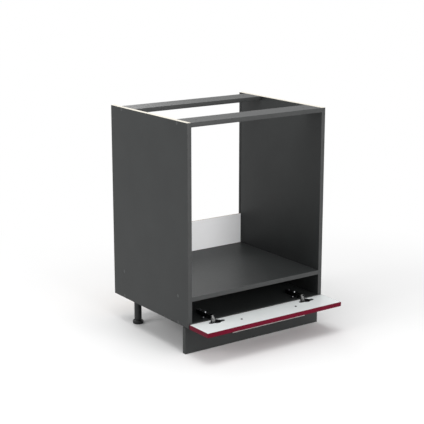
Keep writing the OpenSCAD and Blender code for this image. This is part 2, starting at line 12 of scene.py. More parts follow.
import bmesh
import bpy
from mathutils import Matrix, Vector


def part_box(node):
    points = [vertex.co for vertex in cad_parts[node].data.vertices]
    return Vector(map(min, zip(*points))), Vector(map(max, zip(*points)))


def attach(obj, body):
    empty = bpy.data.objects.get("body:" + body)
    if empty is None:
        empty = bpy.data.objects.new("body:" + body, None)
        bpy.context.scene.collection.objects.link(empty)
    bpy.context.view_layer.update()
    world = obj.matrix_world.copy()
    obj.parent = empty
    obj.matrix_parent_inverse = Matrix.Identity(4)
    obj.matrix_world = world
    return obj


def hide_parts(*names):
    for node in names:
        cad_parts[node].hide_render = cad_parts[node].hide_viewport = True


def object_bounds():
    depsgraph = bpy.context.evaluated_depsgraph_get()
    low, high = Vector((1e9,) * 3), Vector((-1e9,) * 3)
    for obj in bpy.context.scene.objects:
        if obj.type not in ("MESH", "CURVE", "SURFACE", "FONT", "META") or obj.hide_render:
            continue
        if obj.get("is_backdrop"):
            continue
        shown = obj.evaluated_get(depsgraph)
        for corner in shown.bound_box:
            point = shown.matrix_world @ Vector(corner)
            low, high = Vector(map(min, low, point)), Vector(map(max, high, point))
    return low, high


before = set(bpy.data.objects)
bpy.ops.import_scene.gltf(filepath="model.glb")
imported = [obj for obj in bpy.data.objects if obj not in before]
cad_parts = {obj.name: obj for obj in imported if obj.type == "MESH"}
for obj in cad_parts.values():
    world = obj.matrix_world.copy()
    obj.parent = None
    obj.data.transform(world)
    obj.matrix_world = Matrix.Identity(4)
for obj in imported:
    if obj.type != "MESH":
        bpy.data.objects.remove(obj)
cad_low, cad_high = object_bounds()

MM = 0.001
size = cad_high - cad_low
print("cabinet, mm:", [round(length / MM, 1) for length in size])

# %% [markdown]
# ## Camera
# The photograph looks down on the cabinet from its front left through a long lens. The
# camera could be placed by eye, but its place was solved from the edges of the carcass,
# whose real sizes are known. Its lens isn't shifted, so that the cabinet stays in the middle
# of any other view, and only the top corners lie a few pixels off the photograph.

# %% Place the camera
EYE = (-2.4043, -3.3204, 1.4479)
TURN_RIGHT = math.radians(35.17)
LOOK_DOWN = math.radians(13.87)
LENS_MM = 97.62
SENSOR_MM = 36.0

camera = bpy.data.objects.new("camera", bpy.data.cameras.new("camera"))
camera.data.lens = LENS_MM
camera.data.sensor_width = SENSOR_MM
camera.location = EYE
camera.rotation_euler = (math.pi / 2 - LOOK_DOWN, 0, -TURN_RIGHT)
bpy.context.scene.collection.objects.link(camera)
bpy.context.scene.camera = camera
print("camera distance, m:", round((camera.location - (cad_low + cad_high) / 2).length, 2))

# %% [markdown]
# ## Node helpers
# Shaders and Geometry Nodes are both trees of nodes, so one short function serves both. It
# adds a node, sets its options and fills its inputs: a plain value is written into the
# socket, a socket is linked to it, and a list of sockets is linked one after the other.


# %% Define the node helpers
def add_node(tree, kind, inputs=None, **options):
    node = tree.nodes.new(kind)
    for option, value in options.items():
        setattr(node, option, value)
    for key, value in (inputs or {}).items():
        for item in value if isinstance(value, list) else [value]:
            if isinstance(item, bpy.types.NodeSocket):
                tree.links.new(item, node.inputs[key])
            else:
                node.inputs[key].default_value = item
    return node


def calc(tree, operation, *values):
    """One step of arithmetic on sockets and numbers."""
    return add_node(tree, "ShaderNodeMath", dict(enumerate(values)),
                    operation=operation).outputs[0]


def mix(tree, share, first, second):
    """A mix of two values, each a number or a socket."""
    return add_node(tree, "ShaderNodeMix", {0: share, 2: first, 3: second}).outputs[0]


def paint(code):
    """A colour written as #rrggbb, turned into the linear values that shaders use."""
    parts = [int(code[i:i + 2], 16) / 255 for i in (1, 3, 5)]
    linear = [p / 12.92 if p <= 0.04045 else ((p + 0.055) / 1.055) ** 2.4 for p in parts]
    return (*linear, 1.0)


print("middle grey is", round(paint("#808080")[0], 3), "in linear light")

# %% [markdown]
# ## Studio
# The cabinet stands on a white sweep that shows only its soft shadow. A bright world would
# wash the grey boards out, so the world lights the scene gently, and only what the camera
# and the reflections see of it is white. Four wide lamps light each face as brightly as in
# the photograph.

# %% Set up the world
DAYLIGHT = 0.44
SHOWN_WHITE = 1.0
WHITE = (1, 1, 1, 1)

scene = bpy.context.scene
scene.view_settings.view_transform = "Standard"


def seen_directly(tree):
    """1 for the rays that show a surface as it is: camera, mirror and glass rays."""
    rays = add_node(tree, "ShaderNodeLightPath").outputs
    seen = calc(tree, "MAXIMUM", rays["Is Camera Ray"], rays["Is Glossy Ray"])
    return calc(tree, "MAXIMUM", seen, rays["Is Transmission Ray"])


def make_world():
    world = bpy.data.worlds.new("studio")
    world.use_nodes = True
    tree = world.node_tree
    strength = add_node(tree, "ShaderNodeMapRange", {
        "Value": seen_directly(tree), "To Min": DAYLIGHT, "To Max": SHOWN_WHITE})
    tree.links.new(strength.outputs[0], tree.nodes["Background"].inputs["Strength"])
    tree.nodes["Background"].inputs["Color"].default_value = WHITE
    scene.world = world


make_world()
print("world:", scene.world.name, "at", DAYLIGHT)

# %% Hang the lamps
LAMP_WIDTH = 2.2
# place in metres, then watts
LAMPS = {
    "left_lamp": ((-3.4, 0.2, 1.8), 51),
    "top_lamp": ((-0.3, -0.2, 4.0), 60),
    "front_lamp": ((0.3, -3.6, 1.2), 82),
    "back_lamp": ((0.6, 3.4, 2.0), 36),
}


def soft_lamp(name, place, watts):
    """A square lamp that looks at the middle of the carcass."""
    lamp = bpy.data.lights.new(name, "AREA")
    lamp.size = LAMP_WIDTH
    lamp.energy = watts
    obj = bpy.data.objects.new(name, lamp)
    obj.location = place
    aim = Vector((0, 0, size.z / 2)) - obj.location
    obj.rotation_euler = aim.to_track_quat("-Z", "Y").to_euler()
    scene.collection.objects.link(obj)


for name, (place, watts) in LAMPS.items():
    soft_lamp(name, place, watts)

# %% [markdown]
# ## Floor
# Near the cabinet the floor is paper that the lamps light, so it keeps the shadow. Farther
# out it fades into the same white as the background, and from below it is clear.

# %% Make the floor's paper
PAPER_WHITE = (0.91, 0.91, 0.91, 1)
FADE_FROM = 0.6
FADE_TO = 1.7


def studio_paper():
    """Lit paper near the cabinet, plain white farther out, and clear from below."""
    paper = bpy.data.materials.new("studio_paper")
    paper.use_nodes = True
    tree = paper.node_tree
    tree.nodes.remove(tree.nodes["Principled BSDF"])
    matt = add_node(tree, "ShaderNodeBsdfDiffuse", {"Color": PAPER_WHITE})
    place = add_node(tree, "ShaderNodeTexCoord").outputs["Object"]
    distance = add_node(tree, "ShaderNodeVectorMath", {0: place}, operation="LENGTH")
    far = add_node(tree, "ShaderNodeMapRange", {
        "Value": distance.outputs["Value"], "From Min": FADE_FROM, "From Max": FADE_TO},
        interpolation_type="SMOOTHSTEP")
    faded = calc(tree, "MULTIPLY", far.outputs[0], seen_directly(tree))
    white = add_node(tree, "ShaderNodeEmission", {"Strength": SHOWN_WHITE})
    shown = add_node(tree, "ShaderNodeMixShader", {
        0: faded, 1: matt.outputs[0], 2: white.outputs[0]})
    under = add_node(tree, "ShaderNodeNewGeometry").outputs["Backfacing"]
    clear = add_node(tree, "ShaderNodeBsdfTransparent")
    both = add_node(tree, "ShaderNodeMixShader", {
        0: under, 1: shown.outputs[0], 2: clear.outputs[0]})
    tree.links.new(both.outputs[0], tree.nodes["Material Output"].inputs["Surface"])
    return paper


# %% Lay the floor
FLOOR_HALF = 40.0
FLOOR_CORNERS = ((-1, -1), (1, -1), (1, 1), (-1, 1))

mesh = bpy.data.meshes.new("floor")
mesh.from_pydata([(x * FLOOR_HALF, y * FLOOR_HALF, 0) for x, y in FLOOR_CORNERS],
                 [], [(0, 1, 2, 3)])
mesh.materials.append(studio_paper())
floor = bpy.data.objects.new("floor", mesh)
scene.collection.objects.link(floor)
floor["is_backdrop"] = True
print("floor, m:", 2 * FLOOR_HALF, "wide, white beyond", FADE_TO)

# %% [markdown]
# ## Finishes
# Every finish is a Principled shader whose colour, roughness and relief are varied by
# noise on Object coordinates, so the pattern keeps its real scale and stays on the piece
# when it moves. The small functions below are the parts that the finishes share.


# %% Start a finish
def finish_of(name, colour, roughness, metallic=0.0, specular=0.5):
    """A new material and its tree, shader and Object coordinates."""
    made = bpy.data.materials.new(name)
    made.use_nodes = True
    made.diffuse_color = paint(colour)
    tree = made.node_tree
    shader = tree.nodes["Principled BSDF"]
    shader.inputs["Base Color"].default_value = paint(colour)
    shader.inputs["Roughness"].default_value = roughness
    shader.inputs["Metallic"].default_value = metallic
    shader.inputs["Specular IOR Level"].default_value = specular
    place = add_node(tree, "ShaderNodeTexCoord").outputs["Object"]
    return made, tree, shader, place


def show(tree, shader, colour, roughness=None):
    """Lets a varied colour, and a varied roughness if given, drive the shader."""
    tree.links.new(colour, shader.inputs["Base Color"])
    if roughness is not None:
        tree.links.new(roughness, shader.inputs["Roughness"])


def relief(tree, shader, height, depth):
    """Bump of so many millimetres."""
    bump = add_node(tree, "ShaderNodeBump", {"Height": height, "Distance": depth * MM})
    tree.links.new(bump.outputs[0], shader.inputs["Normal"])


# %% Vary a finish
def noise(tree, place, per_metre, detail=2.0, stretch=(1, 1, 1)):
    """Noise with so many grains per metre, stretched where an axis is below 1."""
    scaled = add_node(tree, "ShaderNodeMapping", {"Vector": place, "Scale": stretch})
    return add_node(tree, "ShaderNodeTexNoise", {
        "Vector": scaled.outputs[0], "Scale": per_metre, "Detail": detail}).outputs["Fac"]


def cells(tree, place, per_metre):
    """A chance value in each of so many cells per metre."""
    found = add_node(tree, "ShaderNodeTexVoronoi", {"Vector": place, "Scale": per_metre})
    return add_node(tree, "ShaderNodeSeparateColor", {0: found.outputs["Color"]}).outputs[0]


def spread(tree, value, low, high, start=0.3, end=0.7):
    """Maps a value, by default one of a noise, onto the span from low to high."""
    return add_node(tree, "ShaderNodeMapRange", {
        "Value": value, "From Min": start, "From Max": end,
        "To Min": low, "To Max": high}).outputs[0]


def blend_colour(tree, share, first, second):
    """A mix of two colours, each a code or a socket."""
    blend = add_node(tree, "ShaderNodeMix", {0: share}, data_type="RGBA")
    for index, colour in ((6, first), (7, second)):
        if isinstance(colour, str):
            blend.inputs[index].default_value = paint(colour)
        else:
            tree.links.new(colour, blend.inputs[index])
    return blend.outputs[2]


def cloud_colour(tree, cloud, first, second, most=1.0):
    """The first colour, taken by a noise towards the second by a share of at most so much."""
    return blend_colour(tree, spread(tree, cloud, 0, most), first, second)


# %% [markdown]
# ## Cut faces
# The boards are chipboard, and some of their cut edges stay raw. A second material on those
# faces would need the solids split, so one material asks where a point lies: within a hair
# of a cut face it shows the inside of the board.

# %% Tell the cut faces apart
SKIN = 0.2 * MM


def cut_faces(node, *sides):
    """Where a node's cut faces lie, as (axis, level, beyond); a side is written like +z."""
    low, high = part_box(node)
    found = []
    for side in sides:
        axis = "xyz".index(side[1])
        beyond = side[0] == "+"
        found.append((axis, high[axis] - SKIN if beyond else low[axis] + SKIN, beyond))
    return found


def near_faces(tree, place, faces):
    """1 within a hair of the given faces and 0 elsewhere."""
    split = add_node(tree, "ShaderNodeSeparateXYZ", {0: place}).outputs
    mask = 0.0
    for axis, level, beyond in faces:
        hit = calc(tree, "GREATER_THAN" if beyond else "LESS_THAN", split[axis], level)
        mask = calc(tree, "MAXIMUM", mask, hit)
    return mask


for axis, level, beyond in cut_faces("left_side", "+z", "+y"):
    print("left side, cut at", "xyz"[axis], "=", round(level / MM, 1), "mm")

# %% [markdown]
# ## Melamine boards
# The chipboard is pressed between two sheets of anthracite paper in melamine resin: dull,
# very finely dimpled, and with a faint cloudiness. Its raw edges show pale chips a few
# millimetres long, whose order is chance, so cells of random tone stand for them.

# %% Make the melamine finish
GRAIN_DEEP = "#1f2121"
CHIP_PALE = "#f3f1ec"
CHIP_DARK = "#e5dfd1"
CHIP_DEEP = "#cdc0a4"


def melamine(name, dark, light, faces=()):
    made, tree, shader, place = finish_of(name, dark, roughness=0.46, specular=0.25)
    cloud = noise(tree, place, per_metre=9, detail=3)
    grain = noise(tree, place, per_metre=1100)
    sheen = noise(tree, place, per_metre=150)
    face = cloud_colour(tree, cloud, dark, light)
    colour = cloud_colour(tree, grain, face, GRAIN_DEEP, most=0.25)
    rough = spread(tree, sheen, 0.45, 0.48)
    height = grain
    if faces:
        raw = near_faces(tree, place, faces)
        chip = cells(tree, place, per_metre=420)
        crumbs = noise(tree, place, per_metre=900, detail=4)
        pale = blend_colour(tree, chip, CHIP_DARK, CHIP_PALE)
        pressed = cloud_colour(tree, crumbs, pale, CHIP_DEEP, most=0.35)
        colour = blend_colour(tree, raw, colour, pressed)
        rough = calc(tree, "MAXIMUM", rough, raw)
        height = mix(tree, raw, grain, chip)
    show(tree, shader, colour, rough)
    relief(tree, shader, height, depth=0.02)
    return made


# %% Finish the boards
# painted light: the plinth's tones are a little lighter than the boards' to lift the shade that
# the flap casts on it
BOARD_TONES = ("#292b2b", "#2e3030")
PLINTH_LIFTED_TONES = ("#2f3131", "#343636")
BOARDS = {
    "left_side": ("+z", "+y"), "right_side": ("+z", "+y"), "bottom_panel": ("+y",),
    "oven_shelf": ("+y",), "front_rail": ("+y",), "back_rail": ("+y",), "plinth_panel": (),
}
finishes = {}
for node, sides in BOARDS.items():
    tones = PLINTH_LIFTED_TONES if node == "plinth_panel" else BOARD_TONES
    finishes[node] = melamine("melamine_" + node, *tones, cut_faces(node, *sides))
print("melamine boards:", len(finishes))

# %% [markdown]
# ## Back panel
# A thin hardboard, lacquered white on the face that shows and left brown behind and on
# its edges. The same question about the place of a point tells the two apart, and short
# stretched noise gives the brown side its pressed fibres.


# %% Finish the back panel
def hardboard(name, faces):
    made, tree, shader, place = finish_of(name, "#f4f4f5", roughness=0.38, specular=0.4)
    grain = noise(tree, place, per_metre=700)
    cloud = noise(tree, place, per_metre=14, detail=3)
    fibres = noise(tree, place, per_metre=500, detail=5, stretch=(0.3, 1, 1))
    white = cloud_colour(tree, cloud, "#f8f8f9", "#fcfcfd")
    brown = cloud_colour(tree, fibres, "#7d5c3d", "#a5835c")
    raw = near_faces(tree, place, faces)
    show(tree, shader, blend_colour(tree, raw, white, brown),
         spread(tree, raw, 0.38, 0.8, start=0, end=1))
    relief(tree, shader, mix(tree, raw, grain, fibres), depth=0.03)
    return made


finishes["back_panel"] = hardboard("lacquered_hardboard", cut_faces("back_panel", "+y", "+z"))
print("back panel:", finishes["back_panel"].name)

# %% [markdown]
# ## Flap
# The flap is white melamine inside, and its edges and front are gloss lacquer in
# bordeaux. The lacquer is a clear coat over colour, so the shader's own coat makes the
# sharp reflection, and wide, shallow noise gives it the faint waviness of sprayed paint.


# %% Finish the flap
def white_melamine(name):
    made, tree, shader, place = finish_of(name, "#e6eaea", roughness=0.42, specular=0.35)
    grain = noise(tree, place, per_metre=900)
    cloud = noise(tree, place, per_metre=12, detail=3)
    show(tree, shader, cloud_colour(tree, cloud, "#e3e7e7", "#e9eded"),
         spread(tree, grain, 0.38, 0.46))
    relief(tree, shader, grain, depth=0.03)
    return made


def gloss_lacquer(name, dark, light):
    made, tree, shader, place = finish_of(name, dark, roughness=0.3, specular=0.04)
    show(tree, shader, cloud_colour(tree, noise(tree, place, per_metre=25, detail=3), dark, light))
    shader.inputs["Coat Weight"].default_value = 0.1
    shader.inputs["Coat Roughness"].default_value = 0.12
    relief(tree, shader, noise(tree, place, per_metre=220, detail=1), depth=0.01)
    return made


red_lacquer = gloss_lacquer("bordeaux_lacquer", "#5a021c", "#630422")
finishes["flap_panel"] = white_melamine("white_melamine")
finishes["flap_front_sheet"] = red_lacquer
print("flap:", finishes["flap_panel"].name, "and", red_lacquer.name)

# %% [markdown]
# ## Metals
# Three metals show: brushed stainless steel on the handle, bright zinc on the screws, and
# black or grey plating on the hinges. Brushing is noise stretched far along the handle,
# zinc has a fine spangle, and plating is smooth with a cloudy sheen. The rear screw of each
# hinge arm lies in the arm's shade, and that shade is painted: its zinc turns grey and rougher.

# %% Make the metal finishes
# painted shade: the grey and the roughness that stand for the shade on the rear arm screws
PAINTED_SHADE = "#55565a"
PAINTED_SHADE_ROUGH = 0.6
Y_AXIS = 1


def brushed_steel(name):
    made, tree, shader, place = finish_of(name, "#cbcac7", roughness=0.3, metallic=1.0)
    lines = noise(tree, place, per_metre=1800, detail=3, stretch=(0.012, 1, 1))
    show(tree, shader, cloud_colour(tree, lines, "#bcbab7", "#d9d8d5"),
         spread(tree, lines, 0.22, 0.38))
    relief(tree, shader, lines, depth=0.01)
    return made


def zinc(name, shaded=()):
    """Zinc with its spangle, painted a shaded grey beyond the levels in shaded."""
    made, tree, shader, place = finish_of(name, "#c9ccd0", roughness=0.3, metallic=1.0)
    spangle = cells(tree, place, per_metre=1500)
    colour = blend_colour(tree, spangle, "#b9bcc2", "#d6d8da")
    rough = spread(tree, spangle, 0.24, 0.4, start=0, end=1)
    # beyond the given levels the zinc is painted grey and made rougher: painted shade
    if shaded:
        mask = near_faces(tree, place, shaded)
        colour = blend_colour(tree, mask, colour, PAINTED_SHADE)
        rough = mix(tree, mask, rough, PAINTED_SHADE_ROUGH)
    show(tree, shader, colour, rough)
    return made


def plating(name, dark, light, metallic):
    made, tree, shader, place = finish_of(name, dark, roughness=0.3, metallic=metallic)
    sheen = noise(tree, place, per_metre=160, detail=4)
    show(tree, shader, cloud_colour(tree, sheen, dark, light), spread(tree, sheen, 0.24, 0.38))
    relief(tree, shader, noise(tree, place, per_metre=1400), depth=0.01)
    return made


# painted shade: the arm screws beyond the middle of their box along Y are painted grey
arm_low, arm_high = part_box("hinge_arm_screws")
shaded_from = (arm_low[1] + arm_high[1]) / 2
steel = brushed_steel("brushed_steel")
screw_zinc = zinc("bright_zinc")
arm_zinc = zinc("arm_zinc", shaded=[(Y_AXIS, shaded_from, True)])
black_plating = plating("black_plating", "#141516", "#202122", metallic=0.7)
grey_plating = plating("grey_plating", "#6e6f6f", "#848483", metallic=0.85)
print("arm screws are dull beyond y =", round(shaded_from / MM, 1), "mm")

# %% [markdown]
# ## Plastics and wood
# Legs, clips and cover caps are moulded: their sheen is broken by the fine texture of the
# mould. The edge bands are extruded, so they are smoother. The dowels are beech, with long
# pores that run along the dowel.


# %% Make the plastic and wood finishes
def moulded(name, dark, light, roughness=0.5, specular=0.35, depth=0.04):
    made, tree, shader, place = finish_of(name, dark, roughness, specular=specular)
    grain = noise(tree, place, per_metre=1600)
    cloud = noise(tree, place, per_metre=40)
    show(tree, shader, cloud_colour(tree, cloud, dark, light),
         spread(tree, grain, roughness - 0.05, roughness + 0.07))
    relief(tree, shader, grain, depth)
    return made


def beech(name):
    made, tree, shader, place = finish_of(name, "#d2b183", roughness=0.6)
    pores = noise(tree, place, per_metre=1500, detail=4, stretch=(0.06, 1, 1))
    rings = noise(tree, place, per_metre=260, detail=3, stretch=(0.1, 1, 1))
    wood = cloud_colour(tree, rings, "#c9a473", "#dcc09a")
    show(tree, shader, cloud_colour(tree, pores, wood, "#a8814f", most=0.5))
    relief(tree, shader, pores, depth=0.05)
    return made


leg_plastic = moulded("leg_plastic", "#17191a", "#202223")
cap_plastic = moulded("cap_plastic", "#3a3c3c", "#404242", roughness=0.42)
edge_band = moulded("edge_band_plastic", "#353636", "#3a3b3b", roughness=0.4, specular=0.3,
                    depth=0.01)
dowel_wood = beech("beech")
print("moulded or grown:", [m.name for m in (leg_plastic, cap_plastic, edge_band, dowel_wood)])

# %% [markdown]
# ## Which finish goes where
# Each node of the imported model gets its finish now. Some keep their CAD shape and show it
# at once, and the finer parts made further on take theirs from the same list.

# %% Dress the nodes
finishes.update({
    "hinge_arm_pins": grey_plating, "hinge_arm_screws": arm_zinc,
    "hinge_cup_screws": black_plating, "handle_screws": black_plating,
    "handle_bar": steel, "handle_posts": steel, "side_edge_bands": edge_band,
    "board_edge_bands": edge_band, "flap_edge_bands": red_lacquer,
    "screw_caps": cap_plastic, "dowels": dowel_wood,
})


def finish_for(node):
    """The finish of a node that isn't listed by name."""
    if node.endswith(("screws", "nails")):
        return screw_zinc
    if "link" in node:
        return grey_plating
    return black_plating if node.startswith("hinge") else leg_plastic


for node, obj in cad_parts.items():
    finishes.setdefault(node, finish_for(node))
    obj.data.materials.clear()
    obj.data.materials.append(finishes[node])
print("nodes dressed:", len(finishes))

# %% [markdown]
# ## Places of the small parts
# Screws, caps, dowels and edge bands repeat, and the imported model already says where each
# of them goes. A node holds them as separate solids, so a copy of its mesh is welded and
# split into islands, and the box round each island is enough to set a finer part there.

# %% Find the separate solids of a node
WELD = 0.005 * MM


def welded(node):
    """A copy of a node's mesh whose loose triangles are joined at their corners."""
    mesh = bmesh.new()
    mesh.from_mesh(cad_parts[node].data)
    bmesh.ops.remove_doubles(mesh, verts=mesh.verts, dist=WELD)
    mesh.verts.ensure_lookup_table()
    return mesh


def solids(node):
    """The lowest and highest corner of every separate solid in a node."""
    mesh = welded(node)
    seen, boxes = set(), []
    for first in mesh.verts:
        if first.index in seen:
            continue
        seen.add(first.index)
        island, waiting = [], [first]
        while waiting:
            vert = waiting.pop()
            island.append(tuple(vert.co))
            for edge in vert.link_edges:
                other = edge.other_vert(vert)
                if other.index not in seen:
                    seen.add(other.index)
                    waiting.append(other)
        boxes.append(tuple(Vector(map(pick, zip(*island))) for pick in (min, max)))
    mesh.free()
    return sorted(boxes, key=lambda box: [round(level / MM) for level in box[0]])


print("carcass screws:", len(solids("carcass_screws")))

# %% [markdown]
# ## Geometry Nodes trees
# A Geometry Nodes tree makes one part from named sizes and sets a copy of it on every
# marker, a loose point that knows which way the part points. The tree ends in real geometry
# with its material, and the result is kept as a plain mesh, because an export can't carry
# live nodes or instances.

# %% Open and close a tree
KINDS = {float: "NodeSocketFloat", int: "NodeSocketInt"}


def new_tree(name, sizes):
    """A tree with named inputs, and the sockets that carry them."""
    tree = bpy.data.node_groups.new(name, "GeometryNodeTree")
    face = tree.interface
    face.new_socket("Geometry", in_out="INPUT", socket_type="NodeSocketGeometry")
    for title, value in sizes.items():
        socket = face.new_socket(title, in_out="INPUT", socket_type=KINDS[type(value)])
        socket.default_value = value
    face.new_socket("Material", in_out="INPUT", socket_type="NodeSocketMaterial")
    face.new_socket("Geometry", in_out="OUTPUT", socket_type="NodeSocketGeometry")
    return tree, add_node(tree, "NodeGroupInput").outputs


def joined(tree, *parts):
    return add_node(tree, "GeometryNodeJoinGeometry", {"Geometry": list(parts)}).outputs[0]


def close_tree(tree, given, *parts):
    """Joins the parts, makes instances real, sets the material and ends the tree."""
    real = add_node(tree, "GeometryNodeRealizeInstances", {"Geometry": joined(tree, *parts)})
    painted = add_node(tree, "GeometryNodeSetMaterial", {
        "Geometry": real.outputs[0], "Material": given["Material"]})
    add_node(tree, "NodeGroupOutput", {"Geometry": painted.outputs[0]})


# %% [markdown]
# ## Moving points
# The trees shape a part by moving the points of a plain cylinder. They need the place of
# the point in hand, a way to draw it towards the Z axis, and a way to lift the whole part.


# %% Move points and parts
def half(tree, value):
    return calc(tree, "DIVIDE", value, 2.0)


def vector(tree, x=0.0, y=0.0, z=0.0):
    return add_node(tree, "ShaderNodeCombineXYZ", {0: x, 1: y, 2: z}).outputs[0]


def here(tree):
    """The three coordinates of the point that is being worked on."""
    place = add_node(tree, "GeometryNodeInputPosition")
    return add_node(tree, "ShaderNodeSeparateXYZ", {0: place.outputs[0]}).outputs


def reshaped(tree, geometry, draw, level):
    """Draws each point in to a share of its distance from the Z axis and sets its level."""
    x, y = here(tree)[:2]
    place = vector(tree, calc(tree, "MULTIPLY", x, draw), calc(tree, "MULTIPLY", y, draw), level)
    return add_node(tree, "GeometryNodeSetPosition", {
        "Geometry": geometry, "Position": place}).outputs[0]


def lifted(tree, geometry, height):
    return add_node(tree, "GeometryNodeTransform", {
        "Geometry": geometry, "Translation": vector(tree, z=height)}).outputs[0]


# %% [markdown]
# ## Rods and threads
# Dowels, caps, ribs and shanks are all rods. A rod has rings at both ends and two between
# them: the inner rings slide out to where a chamfer or a point begins, and the last ones
# are drawn in. Which ring a point is on follows from its height. A thread is a four-sided
# ridge swept along a spiral.

# %% Make rods and threads
ROD_SEGMENTS = 3
END_RINGS = 0.25
LAST_RING = 0.9
TURN_STEPS = 16
RIDGE_SIDES = 4


def cylinder(tree, radius, length, sides, segments=1):
    return add_node(tree, "GeometryNodeMeshCylinder", {
        "Vertices": sides, "Side Segments": segments, "Radius": radius,
        "Depth": length}).outputs[0]


def eased_rod(tree, radius, length, ease, sides):
    """A rod along Z from zero up, whose two rims are cut back by a chamfer."""
    z = here(tree)[2]
    end = calc(tree, "GREATER_THAN", calc(tree, "ABSOLUTE", z),
               calc(tree, "MULTIPLY", length, END_RINGS))
    cut = calc(tree, "MULTIPLY", ease, calc(tree, "SUBTRACT", 1.0, end))
    level = calc(tree, "MULTIPLY", calc(tree, "SIGN", z),
                 calc(tree, "SUBTRACT", half(tree, length), cut))
    drawn_in = calc(tree, "MULTIPLY", end, calc(tree, "DIVIDE", ease, radius))
    rod = reshaped(tree, cylinder(tree, radius, length, sides, ROD_SEGMENTS),
                   calc(tree, "SUBTRACT", 1.0, drawn_in), level)
    return lifted(tree, rod, half(tree, length))


def pointed_rod(tree, radius, length, straight, share, sides):
    """A closed rod along Z that narrows to a share of its radius beyond its straight part."""
    along = calc(tree, "ADD", calc(tree, "DIVIDE", here(tree)[2], length), 0.5)
    end = calc(tree, "GREATER_THAN", along, LAST_RING)
    stretched = calc(tree, "MULTIPLY", along, ROD_SEGMENTS / (ROD_SEGMENTS - 1))
    level = mix(tree, end, calc(tree, "MULTIPLY", stretched, straight), length)
    return reshaped(tree, cylinder(tree, radius, length, sides, ROD_SEGMENTS),
                    mix(tree, end, 1.0, share), level)


def thread(tree, radius, depth, pitch, start, length):
    """A ridge that winds round the Z axis from a starting height."""
    path = add_node(tree, "GeometryNodeCurveSpiral", {
        "Resolution": TURN_STEPS, "Rotations": calc(tree, "DIVIDE", length, pitch),
        "Start Radius": radius, "End Radius": radius, "Height": length})
    ridge = add_node(tree, "GeometryNodeCurvePrimitiveCircle", {
        "Resolution": RIDGE_SIDES, "Radius": depth})
    wound = add_node(tree, "GeometryNodeCurveToMesh", {
        "Curve": path.outputs[0], "Profile Curve": ridge.outputs[0], "Fill Caps": True})
    return lifted(tree, wound.outputs[0], start)


# %% [markdown]
# ## Markers
# A marker carries two directions: along is where the part's own Z axis goes, and outward
# is where its Y axis goes. With a seed, each part is also turned about its own axis by
# chance.


# %% Set parts on markers
def on_markers(tree, given, part, seed=None, scale=(1, 1, 1)):
    """Sets the part on each marker, with its Z axis along and its Y axis outward."""
    along, outward = (add_node(tree, "GeometryNodeInputNamedAttribute", {"Name": title},
                               data_type="FLOAT_VECTOR").outputs[0]
                      for title in ("along", "outward"))
    turn = add_node(tree, "FunctionNodeAxesToRotation", {0: along, 1: outward},
                    primary_axis="Z", secondary_axis="Y").outputs[0]
    if seed is not None:
        angle = add_node(tree, "FunctionNodeRandomValue", {
            2: 0.0, 3: 2 * math.pi, "Seed": seed}, data_type="FLOAT").outputs[1]
        spin = add_node(tree, "FunctionNodeEulerToRotation", {0: vector(tree, z=angle)}).outputs[0]
        turn = add_node(tree, "FunctionNodeRotateRotation", {0: turn, 1: spin},
                        rotation_space="LOCAL").outputs[0]
    return add_node(tree, "GeometryNodeInstanceOnPoints", {
        "Points": given["Geometry"], "Instance": part, "Rotation": turn,
        "Scale": scale}).outputs[0]


def marker_mesh(places, along, outward, lengths=None):
    """Loose points with the attributes that the trees read."""
    mesh = bpy.data.meshes.new("markers")
    mesh.from_pydata([tuple(p) for p in places], [], [])
    for title, ways in (("along", along), ("outward", outward)):
        layer = mesh.attributes.new(title, "FLOAT_VECTOR", "POINT")
        layer.data.foreach_set("vector", [part for way in ways for part in way])
    if lengths:
        mesh.attributes.new("length", "FLOAT", "POINT").data.foreach_set("value", lengths)
    return mesh


# %% Grow a mesh and add it as a piece
SHARP = math.radians(32)


def grown(tree, start, sizes):
    """The plain mesh that a tree makes of a starting mesh."""
    obj = bpy.data.objects.new("start", start)
    scene.collection.objects.link(obj)
    modifier = obj.modifiers.new("grow", "NODES")
    modifier.node_group = tree
    for item in tree.interface.items_tree:
        if item.in_out == "INPUT" and item.name in sizes:
            modifier[item.identifier] = sizes[item.name]
    depsgraph = bpy.context.evaluated_depsgraph_get()
    mesh = bpy.data.meshes.new_from_object(obj.evaluated_get(depsgraph), depsgraph=depsgraph)
    bpy.data.objects.remove(obj)
    for title in ("along", "outward", "length"):
        if title in mesh.attributes:
            mesh.attributes.remove(mesh.attributes[title])
    return mesh


def add_piece(name, mesh, body, slot, *nodes):
    """Adds a finished piece that rides on a body and stands for the nodes."""
    obj = bpy.data.objects.new(name, mesh)
    scene.collection.objects.link(obj)
    mesh.shade_smooth()
    mesh.set_sharp_from_angle(angle=SHARP)
    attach(obj, body)
    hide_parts(*nodes)


# %% [markdown]
# ## Screws and nails
# A wood screw has a pan head with a cross recess, a shank and a wound thread. The carcass
# screws have a flat head with a hexagon socket, and the nails only a low round head. They
# could be modelled one by one, but one tree does them all: the head is a cylinder drawn in
# by a formula, the recess is cut with a boolean, the thread is a spiral, and a seeded
# random turn keeps the recesses from all standing alike, as on a hand-built cabinet.

# %% Shape the screw heads
CROSS_ARM = 0.24
DOME_POWER = 3.0
DOME_RINGS = 6
HEAD_SIDES = 32


def recess_tools(tree, given, recess):
    """What is cut out of a head: one hexagon, or two bars that cross."""
    span, depth = given["Recess Width"], calc(tree, "MULTIPLY", given["Recess Depth"], 2.0)
    if recess == "hexagon":
        return [cylinder(tree, half(tree, span), depth, sides=6)]
    arm = calc(tree, "MULTIPLY", span, CROSS_ARM)
    return [add_node(tree, "GeometryNodeMeshCube", {"Size": vector(tree, a, b, depth)}).outputs[0]
            for a, b in ((span, arm), (arm, span))]


